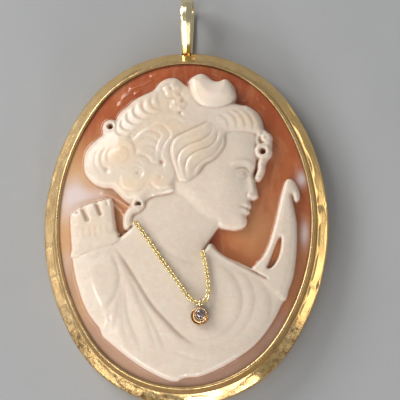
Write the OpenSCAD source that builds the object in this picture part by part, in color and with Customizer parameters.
/* [Shell] */
// Width of the carved oval shell
shell_w = 30; // [29.5:0.1:30.5]
// Length of the carved oval shell
shell_l = 38.7; // [38.4:0.1:39]
// Height of the shell's top edge above the surface that the cameo lies on
shell_edge_z = 4.32; // [4.28:0.01:4.34]
// Rise of the domed orange-brown ground from its edge to its middle
dome_rise = 1.6; // [1.4:0.1:1.8]
// Height of the neck and drapery above the ground
bust_rise = 1.25; // [1:0.05:1.4]
// Height of the cheek and hair above the ground
head_rise = 1.7; // [1.5:0.05:1.9]

/* [Frame] */
// How far the lip of the bezel covers the shell's edge
lip_cover = 0.25; // [0.2:0.01:0.3]
// Height of the bezel's lip
lip_z = 4.72; // [4.7:0.01:4.8]
// How far the outer rim stands out from the shell's edge
rim_out = 1.8; // [1.7:0.05:1.9]
// Height where the rim's upright side begins
rim_z = 0.9; // [0.8:0.05:1]
// Height where the rim's upright side turns into its bevel
bevel_z = 2; // [1.9:0.05:2.1]
// Width of the ledge that the shell sits on
ledge_w = 0.9; // [0.7:0.1:1.1]

/* [Bail] */
// Distance of the bail from the middle line, to the left
bail_left = 0.3; // [0:0.05:0.5]
// Outer radius of the wide end of the bail
bail_r = 2.3; // [2.2:0.05:2.4]
// Width of the bail's strip at its wide end
bail_w = 1.4; // [1.3:0.05:1.5]
// Width of the bail's strip at the hinge
bail_eye_w = 1.1; // [1:0.05:1.15]
// Thickness of the bail's strip
bail_t = 0.35; // [0.3:0.01:0.36]
// Radius of the hidden hinge bar
bar_r = 0.3; // [0.28:0.01:0.31]

/* [Chain and drop] */
// Radius of the wire of one chain link
wire_r = 0.059; // [0.055:0.001:0.06]
// Outer length of one chain link
link_l = 0.93; // [0.925:0.001:0.935]
// Outer width of one chain link
link_w = 0.68; // [0.67:0.01:0.69]
// Distance from one link to the next
link_pitch = 0.516; // [0.515:0.001:0.517]
// Outer radius of the drop
drop_r = 1.07; // [1:0.01:1.1]
// Radius of the drop's stone
stone_r = 0.56; // [0.52:0.01:0.56]

/* [Hidden] */
gold = "goldenrod";
shell_white = "antiquewhite";

// The oval is four arcs, two round ends and two long sides, that meet without a corner
half_w = shell_w / 2;
half_l = shell_l / 2;
end_r = 0.875 * half_w;
end_c = half_l - end_r;
side_r = (half_w^2 + half_l^2 - 2 * half_l * end_r) / (2 * (half_w - end_r));
side_c = side_r - half_w;
side_half = atan2(end_c, side_c);
// Each row is one arc: centre x, centre y, radius, start angle, angle covered
OVAL_ARCS = [
    [-side_c, 0, side_r, -side_half, 2 * side_half],
    [0, end_c, end_r, side_half, 180 - 2 * side_half],
    [side_c, 0, side_r, 180 - side_half, 2 * side_half],
    [0, -end_c, end_r, 180 + side_half, 180 - 2 * side_half]
];

// Line where the frame's bevel meets the upright band of the bezel
shoulder_out = 0.6;
shoulder_z = 3.05;

// The bail's eye turns on the bar in a slot in the rim, and its wide end lies on the surface
floor_gap = 0.02;
eye_gap = 0.07;
eye_in_r = bar_r + eye_gap;
eye_r = eye_in_r + bail_t;
bar_y = half_l + 1.1;
bar_z = 0.9;
bail_end_y = half_l + 6.15;
bail_end_z = bail_r + floor_gap;
bail_reach = norm([bail_end_y - bar_y, bail_end_z - bar_z]);
bail_tilt = atan2(bail_end_z - bar_z, bail_end_y - bar_y);
leaf_turn = 90 + asin((bail_r - eye_r) / bail_reach);
bail_bevel = 0.14;
leaf_bite = 0.06;
leaf_inset = 0.02;
slot_w = 1.5;
slot_r = eye_r + 0.12;
slot_slope = 42;
bar_grip = 0.5;

// The origin is under the middle of the whole cameo, so everything moves down by this much
centre_y = (bail_end_y + bail_r - half_l - rim_out) / 2;

// Shell: edge, gap to the bezel, and the hollow back
shell_gap = 0.08;
shell_back_z = 2.76;
back_rise = 1.2;
DOME_STEPS = [1, 0.9, 0.72, 0.5, 0.25, 0.02];
BACK_STEPS = [0.02, 0.5, 1];

// The bust and the head are cushions: middle x, middle y, half width, half height
BUST = [-1, -8, 15, 13];
HEAD = [0.5, 6.5, 13.5, 12.5];
wall_share = 0.55;
BUST_MIDDLE = [-3, -9];
HEAD_MIDDLE = [0.5, 7];

// Points of the bust's outline, from the throat down the right side and round
BUST_OUTLINE = [
    [3.4, -1.4], [2.5, -3.1], [3.1, -2.5], [4.4, -3.6], [6.2, -4.6], [8.6, -5.7], [10.6, -6.6],
    [12.3, -7.3], [11.5, -9.2], [10.4, -11.3], [9.1, -13.2], [7.6, -14.7], [5.9, -15.9], [4, -17],
    [2.2, -17.7], [0.8, -17.9], [-0.6, -18.3], [-2.4, -18], [-4.3, -17], [-6.2, -15.8], [-8, -14.5], [-9.3, -13.5], [-9.9, -12.3],
    [-11.1, -10.7], [-12.1, -8.7], [-12.8, -6.4], [-13, -4.2], [-12.5, -3.2], [-10.9, -2.6], [-9.2, -2.1],
    [-7.6, -1.7], [-6.7, -0.6], [-6.7, 1], [-5.4, 2.6], [-2, 4.2], [1.4, 3.4], [3, 0.6]
];

// Points of the hair's outline, from the forehead back over the crown and down to the nape and jaw
HAIR_OUTLINE = [
    [8.4, 9.9], [9, 11], [8.8, 12.1], [8.3, 13.2], [7.3, 14], [6, 14.3], [4.6, 15.3], [2.6, 16.4],
    [0.6, 16.9], [-0.6, 17], [-1.9, 17.5], [-3.1, 17.2], [-3.9, 16.3], [-5.3, 15.5], [-6.6, 14.6], [-7.7, 13.5],
    [-8.4, 12.1], [-9.3, 10.8], [-10.6, 10], [-11.6, 9], [-12, 7.6], [-11.9, 6.2], [-11.2, 5.1], [-10, 4.4],
    [-8.6, 4.1], [-7.7, 3.4], [-6.6, 2.6], [-5.2, 2.1], [-3.9, 2.4], [-2.4, 2.8], [-0.8, 2.9], [0.2, 2],
    [1.1, 0.8], [2.3, -0.3], [3.7, -1]
];

// Profile of the face: share of the way from hairline to chin, and share of face height that stands out
face_h = 11;
face_tilt = 8;
face_top = [8.4, 9.9];
FACE_PROFILE = [
    [1.02, -0.2], [1.02, -0.1], [1, -0.035], [0.97, 0.012], [0.93, 0.03], [0.885, 0.026], [0.85, 0.013],
    [0.815, 0.042], [0.79, 0.04], [0.775, 0.026], [0.755, 0.048], [0.73, 0.045], [0.7, 0.03], [0.675, 0.026],
    [0.66, 0.07], [0.635, 0.1], [0.6, 0.096], [0.5, 0.056], [0.4, 0.016], [0.33, 0.022], [0.22, 0.024],
    [0.1, 0.014]
];
// Eyelids, brow, nostril and lips: shares from and to, bend, width and rise in mm
FACE_RIDGES = [
    [0.335, -0.03, 0.325, -0.17, 0.015, 0.5, 0.1],
    [0.405, -0.055, 0.4, -0.15, 0.02, 0.32, 0.12],
    [0.425, -0.06, 0.42, -0.14, -0.01, 0.24, 0.08],
    [0.63, 0, 0.655, -0.03, 0.01, 0.4, 0.12],
    [0.748, 0.02, 0.765, -0.05, 0.005, 0.36, 0.1],
    [0.806, 0.015, 0.79, -0.045, -0.005, 0.36, 0.1]
];

// Locks of hair: from x, y, via x, y, to x, y, width, rise
LOCKS = [
    [4.3, 12.8, 5.3, 12.2, 5, 10.7, 0.8, 0.28], [5, 13.3, 6.8, 13, 6, 10.8, 0.8, 0.28],
    [5.8, 13.6, 8, 13, 7.1, 10.8, 0.8, 0.28], [6.6, 13.9, 9, 13.1, 8.3, 10.9, 0.8, 0.26],
    [3.8, 12.6, 5.2, 9.6, 3.5, 7.6, 1, 0.32], [3, 12.4, 4.6, 9.4, 1.5, 8.1, 1, 0.34],
    [1.77, 8.23, -0.6, 7.2, 0.4, 4.6, 0.9, 0.3], [3.74, 7.79, 1.8, 7.1, 1.2, 5.6, 0.8, 0.26],
    [2.2, 12.2, 3, 9.6, 0.4, 9, 0.95, 0.3], [0.68, 9.07, -1.8, 7.8, -0.9, 4.4, 0.9, 0.28],
    [1.4, 12.4, 0.4, 10.8, -1.2, 9.8, 0.95, 0.3], [-0.97, 9.99, -3, 8, -2.4, 5.2, 0.95, 0.3],
    [0.2, 13, -1.6, 12.2, -3, 10.4, 0.95, 0.28], [-2.82, 10.66, -4.6, 8.6, -3.6, 7, 0.9, 0.28],
    [-1, 13.6, -3.6, 13, -5, 11.2, 0.95, 0.28], [-4.83, 11.47, -6.4, 9.4, -5.2, 7.9, 0.9, 0.26],
    [-2, 14.6, -5.4, 14.2, -6.8, 12, 0.95, 0.28], [-6.63, 12.27, -8.2, 10, -7, 8.6, 0.9, 0.26],
    [-3.2, 16, -6.4, 15.4, -7.7, 13, 0.85, 0.26], [-7.6, 9.4, -9.6, 10.4, -10.8, 8.8, 0.95, 0.28],
    [-10.63, 9.07, -12, 6.8, -10.4, 5.4, 0.95, 0.28], [-10.62, 5.59, -9, 4.4, -7.6, 5.4, 0.9, 0.28],
    [-7.2, 8.4, -9.4, 9, -9.4, 7.1, 0.9, 0.3], [-9.43, 7.39, -9, 5.9, -7.6, 6.6, 0.8, 0.3],
    [-5.4, 7.4, -4, 7.8, -3.3, 6.4, 0.85, 0.28], [-7.2, 4.6, -6.6, 3.4, -5.2, 3.9, 0.9, 0.28],
    [-6.4, 5.8, -5.4, 4.6, -3.9, 5.3, 0.85, 0.28], [-4.9, 3.4, -3, 2.9, -2.4, 4.6, 0.85, 0.28],
    [-2.2, 3.6, -0.9, 3.4, -0.8, 4.6, 0.8, 0.26]
];

// Rosette curls beside the crescent: middle x, middle y, radius
CURLS = [[-1.2, 14.3, 0.95], [-2.1, 16.3, 0.85], [-0.3, 16, 0.75], [-0.2, 12.9, 0.6], [-6.1, 5.9, 0.5]];
curl_rise = 0.3;

// Small ringlets at the edge of the hair that are drilled through: x, y
RINGLETS = [[-8.95, 11.4], [-5.4, 2.1], [9.05, 8.6]];
ringlet_r = 0.78;
ringlet_hole_r = 0.27;
ringlet_rise = 1.05;

// Lock that hangs free before the forehead: from x, y, via x, y, to x, y, width, rise
TENDRILS = [
    [9.1, 11.2, 10, 10.4, 9.5, 9.3, 0.8, 1], [9.3, 8.2, 9.2, 6.8, 8.65, 5.7, 0.95, 0.95],
    [8.6, 10.9, 8.5, 10, 8.8, 9.1, 0.5, 0.95]
];

// Half-moon diadem over the forehead
CRESCENT_OUTLINE = [
    [0.3, 17], [1.5, 17.8], [2.4, 17.3], [3.3, 16.9], [4.4, 17.2], [5.4, 16.5], [5.8, 15.3], [5.4, 14.2],
    [3.9, 13.6], [2.1, 13.6], [0.9, 14.4]
];
crescent_rise = 1.95;

// Folds of the drapery: from x, y, via x, y, to x, y, width, rise
FOLDS = [
    [-7.6, -3, -4.6, -6.4, -2.6, -11, 1.1, 0.3], [-2.73, -10.71, -0.8, -15, 4.4, -15.3, 1.1, 0.3],
    [-8.6, -4.6, -6.8, -7.6, -8.9, -11.6, 1, 0.25], [-7.3, -6, -6.6, -10, -8, -13.2, 0.8, 0.22],
    [-6.1, -6.4, -5.2, -12, -5.4, -15.4, 0.8, 0.22], [-4.6, -7.8, -3.6, -12.4, -2.6, -16.6, 0.8, 0.22],
    [4.2, -4.8, 7, -8.6, 5.4, -11.8, 0.8, 0.25], [5.57, -11.54, 3.4, -14.4, -0.6, -12.4, 0.8, 0.25],
    [6.8, -5.8, 9.4, -9.2, 7, -13, 0.8, 0.22], [9, -6.8, 11, -9.6, 8.8, -12.8, 0.8, 0.2],
    [-0.4, -17.2, 4, -17, 7, -14.4, 0.8, 0.2]
];

// Quiver behind the shoulder, with its bands, and the notches of its mouth
QUIVER_OUTLINE = [
    [-13.3, 0.8], [-12.9, 1.2], [-12.2, 1.6], [-11, 2.1], [-9.8, 2.4], [-8.7, 2.7], [-8.3, 1.8], [-8.2, 0.4],
    [-8, -0.6], [-7.6, -1.6], [-8.6, -2.4], [-10.4, -3], [-12.6, -4.1], [-13.1, -2], [-13.3, -0.4]
];
quiver_rise = 1.15;
QUIVER_BANDS = [
    [-13, -0.5, -10.6, -0.3, -8.4, 0.1, 0.7, 0.2], [-12.9, -1.6, -10.6, -1.3, -8.2, -0.9, 0.7, 0.2]
];
// Cuts: from x, y, to x, y, radius, height of the floor of the cut above the ground
CUTS = [
    [-11.3, 2.4, -11.2, 0.4, 0.13, 0.5], [-10, 2.8, -9.8, 0.9, 0.15, 0.5], [-12.4, 2, -12.2, 0.7, 0.1, 0.6],
    [-9, 3, -8.9, 1.5, 0.1, 0.6], [-7.6, -1.8, -6.3, -0.7, 0.11, 0.5], [11.1, -1.7, 10.9, -3, 0.17, -0.1],
    [10.9, -3, 10, -5, 0.2, -0.1], [8.4, 9.5, 8.3, 7.6, 0.12, -0.1], [4.4, -3.8, 8.6, -5.9, 0.1, 0.75],
    [8.6, -5.9, 11, -7.3, 0.08, 0.95]
];

// Bow before the chest, with the curled tip at its top
BOW_OUTLINE = [
    [12.1, 5.25], [12.7, 4.95], [13.15, 4.2], [13.3, 3.3], [13.05, 2.65], [12.75, 2.9], [12.6, 3.5],
    [12.35, 3.1], [12.8, 1.6], [13, 0], [13.05, -2], [12.9, -4.2], [12.5, -6.4], [12, -8.2], [9.4, -8],
    [8, -5.4], [8.7, -4.7], [9.4, -3.6], [10, -2], [10.5, -0.2], [10.9, 1.6], [11.2, 3.4], [11.5, 4.6]
];
bow_rise = 0.95;
bow_bevel = 0.2;

// Route of the chain over the neck: x, y, height of the links' middle above the carving
CHAIN_ROUTE = [
    [-5.3, -0.7, 0.42], [-4.3, -2, 0.38], [-2.4, -4.7, 0.38], [-0.8, -6.85, 0.4], [0.1, -8.1, 0.46],
    [0.95, -9.2, 0.6], [2, -9.78, 0.7], [2.85, -9.4, 0.62], [3.1, -8.2, 0.46], [2.97, -6.75, 0.4],
    [2.73, -5.4, 0.38], [2.45, -4.2, 0.42]
];
route_steps = 12;
link_roll = 45;
link_corners = 5;
wire_corners = 5;
end_gap = 0.43;

// Wire eyes that hold the chain's ends, on posts set in drilled holes
eye_wire_r = 0.08;
eye_ring_r = 0.3;
post_r = 0.13;
post_hole_r = 0.18;
post_l = 1;

// Drop: the cup, the seat of its stone and its ring
drop_at = [2.15, -11.2];
drop_lift = 0.1;
drop_slope = 8;
drop_turn = -2;
stone_off = [0.12, 0.28];
girdle_z = 0.82;
ring_wire_r = 0.08;
ring_r = 0.55;
ring_at = [1.47, 0.56];

// Height of the ground, of the neck and drapery, and of the head, at a place
function falloff(p, c) = max(0, 1 - ((p.x - c[0]) / c[2])^2 - ((p.y - c[1]) / c[3])^2);
function ground_z(p) = shell_edge_z + dome_rise * falloff(p, [0, 0, half_w, half_l]);
function swell_z(p, c, rise) = ground_z(p) + rise * (wall_share + (1 - wall_share) * falloff(p, c));
function bust_z(p) = swell_z(p, BUST, bust_rise);
function head_z(p) = swell_z(p, HEAD, head_rise);
function quiver_z(p) = ground_z(p) + quiver_rise;

// Points on an arc, on the oval at a distance outside it, and on curves through a few points
function arc_points(row, out, step) = let (n = round(row[4] / step))
    [for (i = [0:n - 1]) let (t = row[3] + row[4] * i / n)
        [row[0] + (row[2] + out) * cos(t), row[1] + (row[2] + out) * sin(t)]];
function oval_points(out, step) = [for (row = OVAL_ARCS) each arc_points(row, out, step)];
function spline(a, b, c, d, t) =
    0.5 * (2 * b + t * (c - a) + t^2 * (2 * a - 5 * b + 4 * c - d) + t^3 * (3 * b - a - 3 * c + d));
function closed_curve(p, n) = let (m = len(p))
    [for (i = [0:m - 1]) for (j = [0:n - 1])
        spline(p[(i + m - 1) % m], p[i], p[(i + 1) % m], p[(i + 2) % m], j / n)];
function open_curve(p, n) = let (m = len(p))
    [for (i = [0:m - 2]) for (j = [0:n - 1 + (i == m - 2 ? 1 : 0)])
        spline(p[max(i - 1, 0)], p[i], p[i + 1], p[min(i + 2, m - 1)], j / n)];
function reversed(p) = [for (i = [len(p) - 1:-1:0]) p[i]];
function bend(a, b, c, t) =(1 - t)^2 * a + 2 * t * (1 - t) * b + t^2 * c;
function face_point(down, out) = face_top
    + face_h * down * [-sin(face_tilt), -cos(face_tilt)] + face_h * out * [cos(face_tilt), -sin(face_tilt)];

// Puts every piece in the part's own frame
module placed() {
    translate([0, -centre_y, 0])
        children();
}

// Faces between rings that all have n points; a loop joins the last ring to the first
function ring_faces(m, n, first, loop) =
    [for (i = [0:m - (loop ? 1 : 2)]) for (j = [0:n - 1]) let (
        a = first + i * n + j,
        b = first + i * n + (j + 1) % n,
        c = first + (i + 1) % m * n + j,
        d = first + (i + 1) % m * n + (j + 1) % n)
        each [[a, c, d], [a, d, b]]];

// A solid through rings with the same number of points, closed at both ends or round in a loop
module skin(rings, loop = false) {
    n = len(rings[0]);
    m = len(rings);
    low = [for (j = [0:n - 1]) j];
    high = [for (j = [n - 1:-1:0]) (m - 1) * n + j];
    polyhedron([for (r = rings) each r], concat(loop ? [] : [low, high], ring_faces(m, n, 0, loop)));
}

function ring_at_share(outline, centre, share, heights) =
    [for (i = [0:len(outline) - 1]) let (p = centre + share * (outline[i] - centre)) [p.x, p.y, heights[i]]];

// The shell before it is carved: a domed oval plate with a hollow back
module shell_plate() {
    outline = oval_points(-shell_gap, 7);
    middle = [0, 0];
    back = [for (s = BACK_STEPS)
        ring_at_share(outline, middle, s, [for (p = outline) shell_back_z + back_rise * (1 - s^2)])];
    front = [for (s = DOME_STEPS)
        ring_at_share(outline, middle, s, [for (p = outline) ground_z(s * p)])];
    skin(concat(back, front));
}

// A cushion over an outline, with an upright wall that rounds over into a swelling top
module cushion(outline, centre, head) {
    rounds = [[1, 0.35], [0.975, 0.8], [0.92, 0.97], [0.65, 1], [0.35, 1], [0.02, 1]];
    low = ring_at_share(outline, centre, 1, [for (p = outline) ground_z(p) - 0.6]);
    rings = [for (r = rounds) ring_at_share(outline, centre, r[0], [for (q = outline)
        let (p = centre + r[0] * (q - centre), top = head ? head_z(p) : bust_z(p))
            ground_z(p) + r[1] * (top - ground_z(p))])];
    skin(concat([low], rings));
}

// A rounded ridge along a bend, thinner at both ends: row is from, via, to, width, rise
module ridge(row, on_head, n = 4, deep = 0.35) {
    from = [row[0], row[1]];
    via = [row[2], row[3]];
    to = [row[4], row[5]];
    across = [[0.5, -1], [0.24, 1], [-0.24, 1], [-0.5, -1]];
    rings = [for (i = [0:n]) let (
        t = i / n,
        p = bend(from, via, to, t),
        q = bend(from, via, to, t + 0.01) - bend(from, via, to, t - 0.01),
        side = [-q.y, q.x] / norm(q),
        taper = sqrt(max(0.06, 1 - abs(2 * t - 1)^3)),
        z = on_head ? head_z(p) : bust_z(p))
        [for (c = across) let (s = p + side * c[0] * row[6] * taper)
            [s.x, s.y, z + (c[1] < 0 ? -deep : c[1] * row[7] * taper)]]];
    skin(rings);
}

// A flat-topped form that stands up from the ground: low layer first, then the bevelled top
module raised(rise, bevel) {
    for (step = [[0, 0.75], [1, 1]])
        intersection() {
            translate([0, 0, shell_back_z + back_rise])
                linear_extrude(shell_edge_z)
                    offset(delta = -bevel * step[0])
                        children();
            translate([0, 0, rise * step[1]])
                shell_plate();
        }
}

// A curl: a ring of hair round a small hollow
module curl(row) {
    z = head_z([row[0], row[1]]);
    translate([row[0], row[1], z - 0.3])
        difference() {
            cylinder(r1 = row[2], r2 = row[2] * 0.8, h = 0.3 + curl_rise, $fn = 12);
            translate([0, 0, 0.3])
                cylinder(r1 = row[2] * 0.22, r2 = row[2] * 0.4, h = 0.6, $fn = 8);
        }
}

module ringlet(at) {
    z = ground_z(at);
    translate([at.x, at.y, z - 0.5])
        cylinder(r1 = ringlet_r, r2 = ringlet_r * 0.8, h = 0.5 + ringlet_rise, $fn = 14);
}

// A hanging lock, deep enough to reach into the ground
module tendril(row) {
    p = [row[0], row[1]];
    translate([0, 0, ground_z(p) + row[7] - head_z(p) - 0.3])
        ridge([row[0], row[1], row[2], row[3], row[4], row[5], row[6], 0.35], true, 5, 1.35);
}

// A cut with round ends down to a height above the ground
module cut(row) {
    hull()
        for (end = [[row[0], row[1]], [row[2], row[3]]])
            translate([end.x, end.y, ground_z(end) + row[5]])
                cylinder(r = row[4], h = 4, $fn = 8);
}

module drilled(at, r) {
    translate([at.x, at.y, ground_z(at) - 0.25])
        cylinder(r = r, h = 4, $fn = 10);
}

// Hole for the post of a chain eye
module post_hole(at) {
    translate([at.x, at.y, bust_z(at) - post_l - 0.1])
        cylinder(r = post_hole_r, h = 3, $fn = 12);
}

module face_ridge(row) {
    from = face_point(row[0], row[1]);
    to = face_point(row[2], row[3]);
    via = (from + to) / 2 - face_h * row[4] * [0, -1];
    ridge([from.x, from.y, via.x, via.y, to.x, to.y, row[5], row[6]], true, 3);
}

// The hair's outline runs from the forehead to the jaw, where the face's profile takes over
module head_form() {
    cushion(concat(HAIR_OUTLINE, [for (f = FACE_PROFILE) face_point(f[0], f[1])]), HEAD_MIDDLE, true);
}

module shell() {
    color(shell_white)
        placed()
            difference() {
                union() {
                    shell_plate();
                    cushion(reversed(BUST_OUTLINE), BUST_MIDDLE, false);
                    head_form();
                    raised(crescent_rise, 0.35)
                        polygon(closed_curve(CRESCENT_OUTLINE, 2));
                    raised(bow_rise, bow_bevel)
                        polygon(BOW_OUTLINE);
                    raised(quiver_rise, 0.12)
                        polygon(QUIVER_OUTLINE);
                    for (row = LOCKS)
                        ridge(row, true);
                    for (row = FACE_RIDGES)
                        face_ridge(row);
                    for (row = CURLS)
                        curl(row);
                    for (at = RINGLETS)
                        ringlet(at);
                    for (row = TENDRILS)
                        tendril(row);
                    for (row = FOLDS)
                        ridge(row, false, 6);
                    for (row = QUIVER_BANDS)
                        ridge(row, false);
                }
                for (row = CUTS)
                    cut(row);
                for (at = RINGLETS)
                    drilled(at, ringlet_hole_r);
                for (end = CHAIN_ENDS)
                    post_hole(post_at(end));
            }
}

// Cross-section of the frame: distance out from the shell's edge, height
function frame_section() = [
    [-ledge_w, 0], [rim_out - 0.7, 0], [rim_out - 0.08, rim_z - 0.2], [rim_out, rim_z],
    [rim_out, bevel_z], [shoulder_out, shoulder_z], [shoulder_out - 0.12, shoulder_z + 0.1],
    [0.18, lip_z - 0.12], [0.05, lip_z], [-lip_cover, lip_z - 0.12],
    [-lip_cover, lip_z - 0.22], [0, lip_z - 0.37], [0, shell_back_z - 0.06], [-ledge_w, shell_back_z - 0.16]
];

// A closed moulding of one section round the oval, seen from above in clockwise steps
module round_the_oval(section, step) {
    lines = [for (p = section) oval_points(p.x, step)];
    n = len(lines[0]);
    rings = [for (i = [n - 1:-1:0])
        [for (k = [0:len(section) - 1]) [lines[k][i].x, lines[k][i].y, section[k].y]]];
    skin(rings, loop = true);
}

// Slot in the rim where the bail swings, open below and outwards
module bail_slot() {
    tip = [bar_y - slot_r * sin(slot_slope), bar_z + slot_r * cos(slot_slope)];
    far = half_l + rim_out + 1;
    translate([-bail_left - slot_w / 2, 0, 0])
        rotate([90, 0, 90])
            linear_extrude(slot_w)
                polygon([[bar_y - slot_r, -1], [far, -1], [far, tip[1] + (far - tip[0]) * tan(slot_slope)],
                    tip, [bar_y - slot_r, bar_z]]);
}

module frame() {
    color(gold)
        placed() {
            difference() {
                round_the_oval(frame_section(), 5.7);
                bail_slot();
                translate([-bail_left - slot_w / 2, bar_y, bar_z])
                    rotate([0, 90, 0])
                        cylinder(r = slot_r, h = slot_w, $fn = 48);
            }
            translate([-bail_left - slot_w / 2 - bar_grip, bar_y, bar_z])
                rotate([0, 90, 0])
                    cylinder(r = bar_r, h = slot_w + 2 * bar_grip, $fn = 48);
        }
}

// Section of the bail's strip, with a ridge along its outside: outer radius, width, how much thinner
module strip_section(r, w, inset = 0) {
    low = r - bail_t + inset;
    edge = r - bail_bevel - inset;
    half = w / 2 - inset;
    polygon([[low, -half], [edge, -half], [r - inset, 0], [edge, half], [low, half]]);
}

// Turns a shape made round Z so that it lies round the X axis, at an angle from +Y
module round_x(turn) {
    rotate([0, 90, 0])
        rotate([0, 0, turn + 90])
            children();
}

// A slice of the strip where a leaf runs a little way into an arc
module bail_slice(at, r, w, turn) {
    translate([0, at, 0])
        round_x(turn)
            rotate([90, 0, 0])
                linear_extrude(2 * leaf_bite, center = true)
                    strip_section(r, w, leaf_inset);
}

module bail_leaf(turn) {
    hull() {
        bail_slice(0, eye_r, bail_eye_w, turn);
        bail_slice(bail_reach, bail_r, bail_w, turn);
    }
}

module bail() {
    color(gold)
        placed()
            translate([-bail_left, bar_y, bar_z])
                rotate([bail_tilt, 0, 0]) {
                    translate([0, bail_reach, 0])
                        round_x(-leaf_turn)
                            rotate_extrude(angle = 2 * leaf_turn, $fn = 96)
                                strip_section(bail_r, bail_w);
                    round_x(0)
                        rotate_extrude($fn = 96)
                            strip_section(eye_r, bail_eye_w);
                    bail_leaf(leaf_turn);
                    bail_leaf(-leaf_turn);
                }
}

// The chain's route as points in space, its length, and the point at a distance along it
function route_point(p) = [p.x, p.y, bust_z(p) + p[2]];
ROUTE = [for (p = open_curve(CHAIN_ROUTE, route_steps)) route_point(p)];
ROUTE_STEPS = [for (i = [1:len(ROUTE) - 1]) norm(ROUTE[i] - ROUTE[i - 1])];
function total(steps, n) = n == 0 ? 0 : steps[n - 1] + total(steps, n - 1);
ROUTE_LENGTHS = [for (i = [0:len(ROUTE) - 1]) total(ROUTE_STEPS, i)];
route_l = ROUTE_LENGTHS[len(ROUTE) - 1];
link_count = floor(route_l / link_pitch);
function along(s, i = 0) = i >= len(ROUTE) - 2 || ROUTE_LENGTHS[i + 1] > s
    ? ROUTE[i] + (ROUTE[i + 1] - ROUTE[i]) * (s - ROUTE_LENGTHS[i]) / ROUTE_STEPS[i]
    : along(s, i + 1);
function unit(v) = v / norm(v);
function link_s(i) = (route_l - (link_count - 1) * link_pitch) / 2 + i * link_pitch;
function heading(s) = unit(along(s + 0.2) - along(s - 0.2));
function sideways(t) = unit(cross([0, 0, 1], t));
function rolled(t, roll) = cos(roll) * sideways(t) + sin(roll) * cross(t, sideways(t));

// Middle line of a link: two half rounds joined by straight sides
function link_line() = let (r = link_w / 2 - wire_r, half = link_l / 2 - link_w / 2)
    [for (end = [0, 1]) for (k = [0:link_corners - 1]) let (a = 180 * k / (link_corners - 1) - 90 + 180 * end)
        [(end == 0 ? half : -half) + r * cos(a), r * sin(a), cos(a), sin(a)]];
function link_points(c, t, b) = let (n = cross(t, b))
    [for (q = link_line()) for (j = [0:wire_corners - 1]) let (a = 360 * j / wire_corners)
        c + q[0] * t + q[1] * b + wire_r * (cos(a) * (q[2] * t + q[3] * b) - sin(a) * n)];
module chain() {
    link_size = 2 * link_corners * wire_corners;
    points = [for (i = [0:link_count - 1]) let (s = link_s(i), t = heading(s))
        each link_points(along(s), t, rolled(t, i % 2 == 0 ? link_roll : -link_roll))];
    faces = [for (i = [0:link_count - 1])
        each ring_faces(2 * link_corners, wire_corners, i * link_size, true)];
    color(gold)
        placed()
            polyhedron(points, faces);
}

// Middle, direction and roll of each wire eye, one link away from the chain's first and last link
function chain_end(first) = let (
    s = link_s(first ? 0 : link_count - 1),
    t = (first ? -1 : 1) * heading(s),
    roll = first || link_count % 2 == 1 ? -link_roll : link_roll)
    [along(s) + end_gap * t, t, rolled(heading(s), roll)];
CHAIN_ENDS = [chain_end(true), chain_end(false)];
function post_at(end) = end[0] + eye_ring_r * end[1];

// A small wire ring on a post that goes down into the shell
module chain_eye(end) {
    n = cross(end[1], end[2]);
    foot = post_at(end);
    color(gold)
        placed() {
            multmatrix([[end[1].x, end[2].x, n.x, end[0].x], [end[1].y, end[2].y, n.y, end[0].y],
                [end[1].z, end[2].z, n.z, end[0].z], [0, 0, 0, 1]])
                rotate_extrude($fn = 32)
                    translate([eye_ring_r, 0])
                        circle(r = eye_wire_r, $fn = 16);
            translate([foot.x, foot.y, bust_z(foot) - post_l])
                cylinder(r = post_r, h = foot.z - bust_z(foot) + post_l, $fn = 24);
        }
}

module chain_eye_left() {
    chain_eye(CHAIN_ENDS[0]);
}

module chain_eye_right() {
    chain_eye(CHAIN_ENDS[1]);
}

// Lays a piece of the drop on the drapery, sloped as the carving is there
module on_drapery() {
    translate([drop_at.x, drop_at.y, bust_z(drop_at) + drop_lift])
        rotate([drop_slope, 0, drop_turn])
            children();
}

// Sections of the drop's cup, of the collet round its stone, and of the hollow that the stone sits in
CUP_SECTION = [
    [0, 0], [drop_r - 0.15, 0], [drop_r, 0.14], [drop_r, 0.56], [drop_r - 0.07, 0.62],
    [drop_r - 0.17, 0.52], [drop_r - 0.32, 0.3], [0, 0.22]
];
COLLET_SECTION = [[0, 0.1], [stone_r + 0.06, 0.1], [stone_r + 0.14, 0.86], [stone_r + 0.08, 0.98], [0, 0.98]];
SEAT_SECTION = [
    [0, 0.26], [0.2, 0.26], [stone_r + 0.04, girdle_z - 0.08], [stone_r + 0.04, girdle_z + 0.08],
    [stone_r - 0.02, 0.96], [stone_r - 0.02, 1.2], [0, 1.2]
];

module drop_setting() {
    color(gold)
        placed()
            on_drapery() {
                difference() {
                    union() {
                        rotate_extrude($fn = 48)
                            polygon(CUP_SECTION);
                        translate([stone_off.x, stone_off.y, 0])
                            rotate_extrude($fn = 48)
                                polygon(COLLET_SECTION);
                    }
                    translate([stone_off.x, stone_off.y, 0])
                        rotate_extrude($fn = 48)
                            polygon(SEAT_SECTION);
                }
                translate([0, ring_at[0], ring_at[1]])
                    rotate([0, 90, 0])
                        rotate_extrude($fn = 48)
                            translate([ring_r, 0])
                                circle(r = ring_wire_r, $fn = 16);
            }
}

// A round stone with a flat table, twelve crown faces and twelve faces below
STONE_SECTION = [[0, -0.42], [stone_r, 0], [stone_r, 0.03], [stone_r * 0.58, 0.19], [0, 0.19]];

module diamond() {
    color("lightcyan")
        placed()
            on_drapery()
                translate([stone_off.x, stone_off.y, girdle_z])
                    rotate_extrude($fn = 12)
                        polygon(STONE_SECTION);
}

frame();
shell();
bail();
chain();
chain_eye_left();
chain_eye_right();
drop_setting();
diamond();
